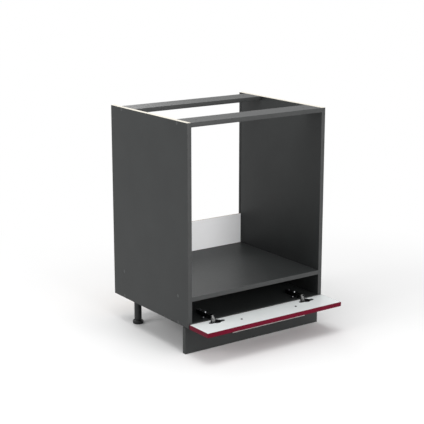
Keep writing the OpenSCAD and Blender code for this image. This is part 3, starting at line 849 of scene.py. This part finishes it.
def screw_head(tree, given, recess):
    """A domed head that ends at its marker, with the recess in its top."""
    height = given["Head Height"]
    blank = cylinder(tree, half(tree, given["Head Diameter"]), height, HEAD_SIDES, DOME_RINGS)
    z = here(tree)[2]
    rise = calc(tree, "SUBTRACT", 0.5, calc(tree, "DIVIDE", z, height))
    fall = calc(tree, "MULTIPLY", calc(tree, "POWER", rise, DOME_POWER), given["Dome"])
    draw = calc(tree, "SQRT", calc(tree, "SUBTRACT", 1.0, fall))
    head = lifted(tree, reshaped(tree, blank, draw, z), calc(tree, "DIVIDE", height, -2.0))
    if recess == "none":
        return head
    top = calc(tree, "MULTIPLY", height, -1.0)
    return add_node(tree, "GeometryNodeMeshBoolean", {
        "Mesh 1": head,
        "Mesh 2": [lifted(tree, tool, top) for tool in recess_tools(tree, given, recess)]},
        operation="DIFFERENCE", solver="EXACT").outputs[0]


# %% Build the screw trees
SHANK_SIDES = 20
SCREW_SIZES = {
    "Head Diameter": 7 * MM, "Head Height": 2 * MM, "Dome": 0.5, "Shank Diameter": 3.5 * MM,
    "Length": 15 * MM, "Tip Length": 3 * MM, "Tip Share": 0.2, "Pitch": 1.6 * MM,
    "Thread Depth": 0.4 * MM, "Recess Width": 3.4 * MM, "Recess Depth": 1.1 * MM, "Seed": 7,
}


def screw_tree(recess):
    tree, given = new_tree("screw_" + recess, SCREW_SIZES)
    root = calc(tree, "SUBTRACT", half(tree, given["Shank Diameter"]), given["Thread Depth"])
    straight = calc(tree, "SUBTRACT", given["Length"], given["Tip Length"])
    parts = [screw_head(tree, given, recess), pointed_rod(
        tree, root, given["Length"], straight, given["Tip Share"], SHANK_SIDES)]
    if recess != "none":
        parts.append(thread(tree, root, given["Thread Depth"], given["Pitch"], given["Pitch"],
                            calc(tree, "SUBTRACT", straight, given["Pitch"])))
    close_tree(tree, given, on_markers(tree, given, joined(tree, *parts), given["Seed"]))
    return tree


screw_trees = {recess: screw_tree(recess) for recess in ("cross", "hexagon", "none")}
print("screw trees:", {name: len(tree.nodes) for name, tree in screw_trees.items()})

# %% [markdown]
# ## Forms of the screws
# Lengths are in millimetres. Dome says how far a head closes in towards its top, and share
# how much of its radius a shank keeps at its tip. The head's width and the whole length
# aren't listed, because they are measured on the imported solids.

# %% List the screws and nails
WOOD_SCREW = dict(recess="cross", shank=3.6, head=2.0, dome=0.5, width=3.6, pitch=1.6,
                  tip=3.5, share=0.15)
SMALL_SCREW = dict(WOOD_SCREW, shank=3.5, head=1.8, width=3.4)
MACHINE_SCREW = dict(WOOD_SCREW, shank=4.0, width=4.4, pitch=0.8, tip=0.6, share=0.8)
FASTENERS = {
    "leg_socket_screws": dict(WOOD_SCREW, points="+z"),
    "plinth_clip_screws": dict(WOOD_SCREW, points="-y"),
    "hinge_wing_screws": dict(SMALL_SCREW, points="-z"),
    "hinge_cup_screws": dict(SMALL_SCREW, points="-z"),
    "hinge_arm_screws": dict(MACHINE_SCREW, points="-z", dome=0.25),
    "handle_screws": dict(MACHINE_SCREW, points="-z", head=2.2),
    "carcass_screws": dict(points="inwards", recess="hexagon", shank=6.4, head=3.2, dome=0.0,
                           width=4.0, pitch=3.0, tip=5.0, share=0.4),
    "back_panel_nails": dict(points="-y", recess="none", shank=1.6, head=0.6, dome=0.6,
                             width=0.0, pitch=1.0, tip=2.4, share=0.1),
}
print("kinds of screws and nails:", len(FASTENERS))

# %% Set the screws and nails
THREAD_SHARE = 0.11
RECESS_SHARE = 0.6


def way_of(points, middle):
    """A unit vector; inwards points from a side towards the middle of the cabinet."""
    if points == "inwards":
        return Vector((-math.copysign(1, middle.x), 0, 0))
    way = Vector((0, 0, 0))
    way["xyz".index(points[1])] = 1 if points[0] == "+" else -1
    return way


def set_fasteners(seed, node, points, recess, shank, head, dome, width, pitch, tip, share):
    boxes = solids(node)
    middles = [(low + high) / 2 for low, high in boxes]
    ways = [way_of(points, middle) for middle in middles]
    span = boxes[0][1] - boxes[0][0]
    reach = abs(span.dot(ways[0]))
    across = max(side for side, part in zip(span, ways[0]) if not part)
    seats = [m - w * (reach / 2 - head * MM) for m, w in zip(middles, ways)]
    outward = [Vector((w.y, w.z, w.x)) for w in ways]
    mesh = grown(screw_trees[recess], marker_mesh(seats, ways, outward), {
        "Head Diameter": across, "Head Height": head * MM, "Dome": dome,
        "Shank Diameter": shank * MM, "Length": reach - head * MM, "Tip Length": tip * MM,
        "Tip Share": share, "Pitch": pitch * MM,
        "Thread Depth": shank * THREAD_SHARE * MM if recess != "none" else 0.0,
        "Recess Width": width * MM, "Recess Depth": head * RECESS_SHARE * MM,
        "Seed": seed, "Material": finishes[node]})
    on_flap = node in ("hinge_cup_screws", "handle_screws")
    add_piece("fine_" + node, mesh, "flap" if on_flap else "carcass",
              "hinge_black" if on_flap else "screw_steel", node)
    print(node, len(boxes), "pieces,", len(mesh.polygons), "faces")


for seed, (node, form) in enumerate(FASTENERS.items(), 1):
    set_fasteners(seed, node, **form)

# %% [markdown]
# ## Cover caps
# A moulded cap lies flush over each carcass screw. It shows only as a thin ring where its
# rim is rounded off, so the tree makes a disc with a chamfered rim and the stub that
# presses into the screw's socket.

# %% Set the cover caps
CAP_SIZES = {
    "Diameter": 12 * MM, "Thickness": 1.2 * MM, "Ease": 0.5 * MM, "Stub Diameter": 3.2 * MM,
    "Stub Length": 2.8 * MM,
}
CAP_SIDES = 48
STUB_SIDES = 24
STUB_CLEARANCE = 0.1 * MM


def cap_tree():
    tree, given = new_tree("cover_cap", CAP_SIZES)
    disc = eased_rod(tree, half(tree, given["Diameter"]), given["Thickness"], given["Ease"],
                     CAP_SIDES)
    stub = eased_rod(tree, half(tree, given["Stub Diameter"]), given["Stub Length"],
                     given["Ease"], STUB_SIDES)
    close_tree(tree, given, on_markers(tree, given, joined(tree, disc, stub)))
    return tree


def set_caps():
    boxes = solids("screw_caps")
    middles = [(low + high) / 2 for low, high in boxes]
    ways = [way_of("inwards", middle) for middle in middles]
    span = boxes[0][1] - boxes[0][0]
    faces = [m - w * span.x / 2 for m, w in zip(middles, ways)]
    start = marker_mesh(faces, ways, [(0, 0, 1)] * len(ways))
    mesh = grown(cap_tree(), start, {
        **CAP_SIZES, "Diameter": span.y, "Stub Length": span.x - STUB_CLEARANCE,
        "Material": cap_plastic})
    add_piece("eased_screw_caps", mesh, "carcass", "cap_grey", "screw_caps")
    print("cover caps:", len(boxes))


set_caps()

# %% [markdown]
# ## Dowels
# Beech dowels are fluted, so that glue and air can escape, and their ends are chamfered.
# The flutes follow a rule, the sine of the angle round the dowel, so a chamfered rod is
# made first and its radius is then drawn in by that rule.

# %% Set the dowels
FLUTES = 12
DOWEL_SIDES = 6 * FLUTES
DOWEL_SIZES = {
    "Diameter": 8 * MM, "Length": 35 * MM, "Chamfer": 1 * MM, "Flutes": float(FLUTES),
    "Flute Depth": 0.3 * MM,
}


def dowel_tree():
    tree, given = new_tree("fluted_dowel", DOWEL_SIZES)
    radius = half(tree, given["Diameter"])
    rod = eased_rod(tree, radius, given["Length"], given["Chamfer"], DOWEL_SIDES)
    x, y, z = here(tree)
    angle = calc(tree, "MULTIPLY", calc(tree, "ARCTAN2", y, x), given["Flutes"])
    groove = half(tree, calc(tree, "ADD", calc(tree, "SINE", angle), 1.0))
    deepest = calc(tree, "DIVIDE", given["Flute Depth"], radius)
    draw = calc(tree, "SUBTRACT", 1.0, calc(tree, "MULTIPLY", groove, deepest))
    close_tree(tree, given, on_markers(tree, given, reshaped(tree, rod, draw, z)))
    return tree


def set_dowels():
    boxes = solids("dowels")
    count = len(boxes)
    ends = [(low.x, (low.y + high.y) / 2, (low.z + high.z) / 2) for low, high in boxes]
    span = boxes[0][1] - boxes[0][0]
    start = marker_mesh(ends, [(1, 0, 0)] * count, [(0, 0, 1)] * count)
    mesh = grown(dowel_tree(), start, {
        **DOWEL_SIZES, "Diameter": span.y, "Length": span.x, "Material": dowel_wood})
    add_piece("fluted_dowels", mesh, "carcass", "beech", "dowels")
    print("dowels:", count)


set_dowels()

# %% [markdown]
# ## Edge bands
# A band is ironed on the raw front edge of a board and its two outer corners are rounded
# with a cutter. The rounding catches a thin line of light on every edge of the cabinet. Its
# section is a rectangle whose fillet radius is zero on the glued side, filled and pulled to
# a unit length, and each copy is stretched to the length that its marker holds.

# %% Build the band tree
BAND_THICK = 1 * MM
BAND_ROUNDING = {"side_edge_bands": 0.8, "board_edge_bands": 0.8, "flap_edge_bands": 0.6}
ROUNDING_STEPS = 5


def band_tree():
    tree, given = new_tree("edge_band", {
        "Width": 16 * MM, "Thickness": BAND_THICK, "Rounding": 0.8 * MM})
    outline = add_node(tree, "GeometryNodeCurvePrimitiveQuadrilateral", {
        "Width": given["Width"], "Height": given["Thickness"]}).outputs[0]
    outer = calc(tree, "GREATER_THAN", here(tree)[1], 0.0)
    section = add_node(tree, "GeometryNodeFilletCurve", {
        "Curve": outline, "Count": ROUNDING_STEPS,
        "Radius": calc(tree, "MULTIPLY", outer, given["Rounding"])}, mode="POLY").outputs[0]
    end = add_node(tree, "GeometryNodeFillCurve", {"Curve": section}, mode="NGONS").outputs[0]
    pulled = add_node(tree, "GeometryNodeExtrudeMesh", {
        "Mesh": end, "Offset": (0, 0, 1), "Offset Scale": 1.0, "Individual": False},
        mode="FACES").outputs[0]
    start = add_node(tree, "GeometryNodeFlipFaces", {"Mesh": end}).outputs[0]
    closed = add_node(tree, "GeometryNodeMergeByDistance", {
        "Geometry": joined(tree, pulled, start), "Distance": WELD}).outputs[0]
    length = add_node(tree, "GeometryNodeInputNamedAttribute", {"Name": "length"},
                      data_type="FLOAT").outputs[0]
    close_tree(tree, given, on_markers(
        tree, given, closed, scale=vector(tree, 1.0, 1.0, length)))
    return tree


bands = band_tree()
print("band tree:", len(bands.nodes), "nodes")


# %% Set the edge bands
def band_boxes(node):
    """The box of each band; the flap's four touch at the corners, so they are split here."""
    if not node.startswith("flap"):
        return solids(node)
    low, high = (Vector(corner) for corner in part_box(node))
    step = Vector((BAND_THICK, BAND_THICK, 0))
    inner_low, inner_high = low + step, high - step
    return [(low, Vector((high.x, inner_low.y, high.z))),
            (Vector((low.x, inner_high.y, low.z)), high),
            (Vector((low.x, inner_low.y, low.z)), Vector((inner_low.x, inner_high.y, high.z))),
            (Vector((inner_high.x, inner_low.y, low.z)), Vector((high.x, inner_high.y, high.z)))]


def set_bands(node, rounding):
    on_flap = node.startswith("flap")
    low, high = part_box("flap_panel")
    flap_middle = (Vector(low) + Vector(high)) / 2
    places, along, outward, lengths = [], [], [], []
    for low, high in band_boxes(node):
        middle, span = (low + high) / 2, high - low
        thin, wide, long = sorted(range(3), key=lambda axis: span[axis])
        lengthwise, out = Vector((0, 0, 0)), Vector((0, 0, 0))
        lengthwise[long] = 1
        out[thin] = math.copysign(1, middle[thin] - flap_middle[thin]) if on_flap else -1
        places.append(middle - lengthwise * span[long] / 2)
        along.append(lengthwise)
        outward.append(out)
        lengths.append(span[long])
    mesh = grown(bands, marker_mesh(places, along, outward, lengths), {
        "Width": span[wide], "Thickness": span[thin], "Rounding": rounding * MM,
        "Material": finishes[node]})
    add_piece("rounded_" + node, mesh, "flap" if on_flap else "carcass",
              "gloss_red" if on_flap else "band_grey", node)
    print(node, len(places), "bands,", len(mesh.polygons), "faces")


for node, rounding in BAND_ROUNDING.items():
    set_bands(node, rounding)

# %% [markdown]
# ## Feet
# A foot screws into its leg by hand, so its rim is ribbed for the fingers and its stem
# carries a coarse thread. The body is a lathe form, drawn as a profile of radius and height
# and turned in code. The ribs and the thread repeat, so a tree adds them to that body.

# %% Turn the body of a foot
LATHE_STEPS = 72
RIM_RADIUS = 19.3
STEM_RADIUS = 11.35
FOOT_PROFILE = (
    (0, 0), (17.6, 0), (18.6, 0.3), (19.2, 0.9), (RIM_RADIUS, 2), (RIM_RADIUS, 11), (19.1, 12),
    (18.5, 12.7), (17.6, 13), (16.6, 12.9), (16.0, 12.4), (15.8, 11.2), (15.4, 10.4),
    (14.8, 10), (13.2, 10), (12.2, 10.4), (11.5, 11.4), (STEM_RADIUS, 12.6),
    (STEM_RADIUS, 54.2), (10.5, 55), (0, 55),
)


def turned(profile, steps):
    """A closed mesh turned about Z from pairs of radius and height in millimetres."""
    mesh = bmesh.new()
    rings = []
    for radius, height in profile:
        angles = [2 * math.pi * i / steps for i in range(steps)] if radius else [0.0]
        rings.append([mesh.verts.new((radius * math.cos(a) * MM, radius * math.sin(a) * MM,
                                      height * MM)) for a in angles])
    for lower, upper in zip(rings, rings[1:]):
        for i in range(steps):
            corners = [ring[j % len(ring)] for ring, j in
                       ((lower, i), (lower, i + 1), (upper, i + 1), (upper, i))]
            mesh.faces.new(list(dict.fromkeys(corners)))
    bmesh.ops.recalc_face_normals(mesh, faces=mesh.faces)
    made = bpy.data.meshes.new("turned")
    mesh.to_mesh(made)
    mesh.free()
    return made


# %% Build the foot tree
RIB_SIDES = 8
FOOT_SIZES = {
    "Rib Count": 36, "Rim Radius": RIM_RADIUS * MM, "Rib Radius": 0.7 * MM,
    "Rib Low": 2.2 * MM, "Rib High": 10.6 * MM, "Stem Radius": STEM_RADIUS * MM,
    "Thread Depth": 0.4 * MM, "Thread Low": 16 * MM, "Thread High": 52 * MM, "Pitch": 3 * MM,
}


def foot_tree():
    tree, given = new_tree("ribbed_foot", FOOT_SIZES)
    tall = calc(tree, "SUBTRACT", given["Rib High"], given["Rib Low"])
    rib = eased_rod(tree, given["Rib Radius"], tall, half(tree, given["Rib Radius"]), RIB_SIDES)
    rim = add_node(tree, "GeometryNodeMeshCircle", {
        "Vertices": given["Rib Count"], "Radius": given["Rim Radius"]}).outputs[0]
    ribs = add_node(tree, "GeometryNodeInstanceOnPoints", {
        "Points": rim, "Instance": rib}).outputs[0]
    wound = thread(tree, given["Stem Radius"], given["Thread Depth"], given["Pitch"],
                   given["Thread Low"],
                   calc(tree, "SUBTRACT", given["Thread High"], given["Thread Low"]))
    close_tree(tree, given, given["Geometry"], lifted(tree, ribs, given["Rib Low"]), wound)
    return tree


feet = foot_tree()
print("foot tree:", len(feet.nodes), "nodes")

# %% Set the feet
for node in [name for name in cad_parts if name.startswith("foot_")]:
    low, high = (Vector(corner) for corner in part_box(node))
    mesh = grown(feet, turned(FOOT_PROFILE, LATHE_STEPS), {**FOOT_SIZES, "Material": leg_plastic})
    for vert in mesh.vertices:
        vert.co += Vector(((low.x + high.x) / 2, (low.y + high.y) / 2, low.z))
    add_piece("ribbed_" + node, mesh, node, "plastic_black", node)
    print(node, [round(side / MM, 2) for side in high - low], len(mesh.polygons), "faces")

# %% [markdown]
# ## Pressed and moulded parts
# The hinges are pressed from sheet and the sockets and clips are moulded, so none of their
# edges is sharp: each catches a fine highlight. Their CAD shapes are right apart from that,
# so a copy is welded, its flat faces are joined up again, and its sharp edges get a small
# bevel. Only edges that turn by more than the limit are eased, so round faces stay round.

# %% Ease the edges of a node
FLAT = math.radians(1)
CORNER = math.radians(35)


def eased_copy(node, width, material):
    mesh = welded(node)
    bmesh.ops.dissolve_limit(mesh, angle_limit=FLAT, verts=mesh.verts, edges=mesh.edges)
    corners = [edge for edge in mesh.edges
               if len(edge.link_faces) == 2 and edge.calc_face_angle(0) > CORNER]
    bmesh.ops.bevel(mesh, geom=corners, offset=width * MM, offset_type="OFFSET", segments=2,
                    profile=0.5, affect="EDGES", clamp_overlap=False)
    bmesh.ops.triangulate(mesh, faces=[face for face in mesh.faces if len(face.verts) > 4])
    made = bpy.data.meshes.new("eased")
    mesh.to_mesh(made)
    mesh.free()
    made.materials.append(material)
    return made


# %% Set the pressed and moulded parts
# what a name starts with, then the ease in mm, the body and the slot
EASED = {
    "hinge_plate": (0.3, "carcass", "hinge_black"),
    "hinge_arm": (0.3, "carcass", "hinge_black"),
    "hinge_cup": (0.25, "flap", "hinge_black"),
    "outer_link": (0.15, "outer_links", "hinge_grey"),
    "inner_link": (0.15, "inner_links", "hinge_grey"),
    "plinth_clip": (0.4, "carcass", "plastic_black"),
    "leg_socket_front": (0.5, "carcass", "plastic_black"),
    "leg_socket_back": (0.5, "carcass", "plastic_black"),
}
for start, (width, body, slot) in EASED.items():
    for node in (start + "_left", start + "_right"):
        add_piece("eased_" + node, eased_copy(node, width, finishes[node]), body, slot, node)
print("eased parts:", 2 * len(EASED))

# %% [markdown]
# ## Sizes
# Both boxes are measured: the one round the imported model at the start, and the one round
# the visible pieces here.

# %% Finish
low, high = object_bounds()
